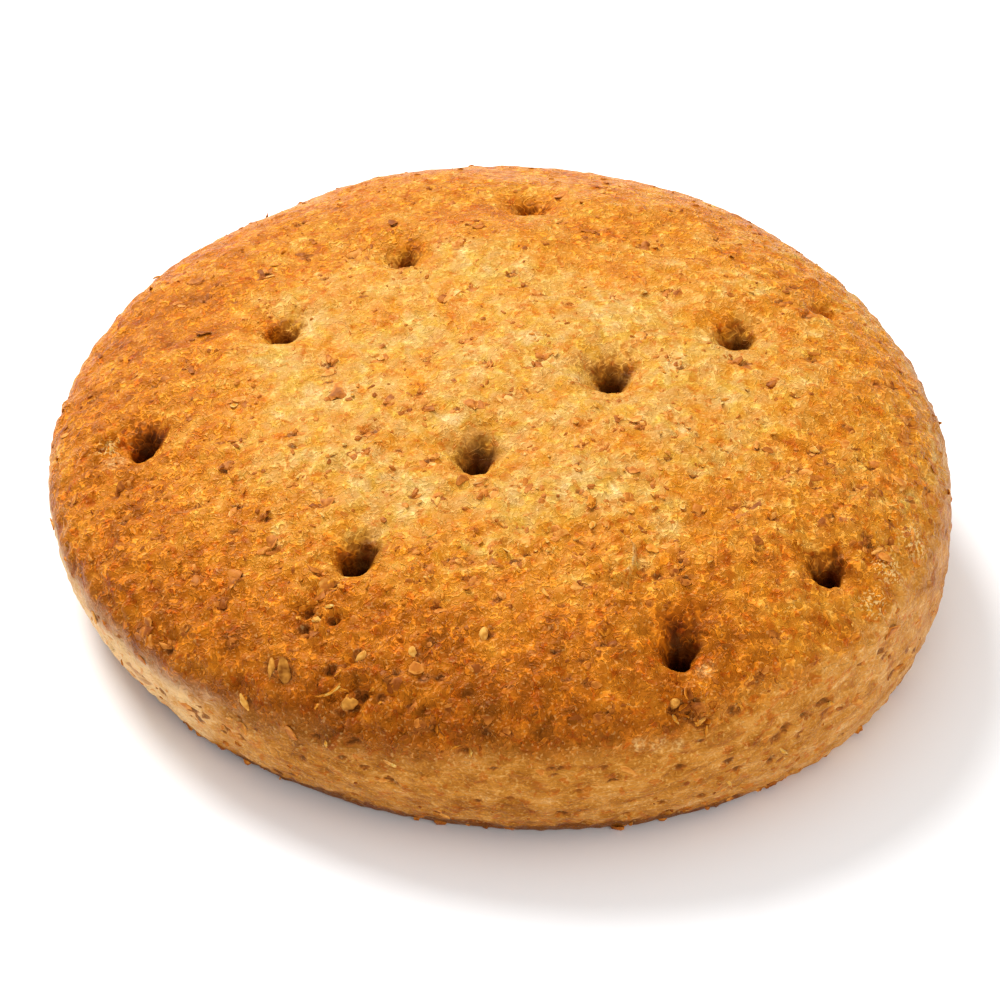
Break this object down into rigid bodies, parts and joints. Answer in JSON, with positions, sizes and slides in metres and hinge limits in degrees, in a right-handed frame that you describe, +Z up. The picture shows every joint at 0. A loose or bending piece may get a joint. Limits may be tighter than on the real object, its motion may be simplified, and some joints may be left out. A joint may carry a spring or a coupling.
{
  "type": "hallulla bread roll",
  "caption": "Round flat wholemeal bread roll with a low browned dome, docking holes pricked in the crust, bran flakes, a paler side and a flat base to rest on.",
  "frame": {"origin": "on the table under the middle of the roll's plan", "axes": "+Z up through the crown, -Y to the front as pictured, +X to the picture's right"},
  "size_m": [0.1099, 0.1111, 0.031],
  "materials": {
    "crust": "golden brown baked crust with bran flecks, matt"
  },
  "bodies": {
    "root": {"loaf": "crust"}
  },
  "joints": []
}
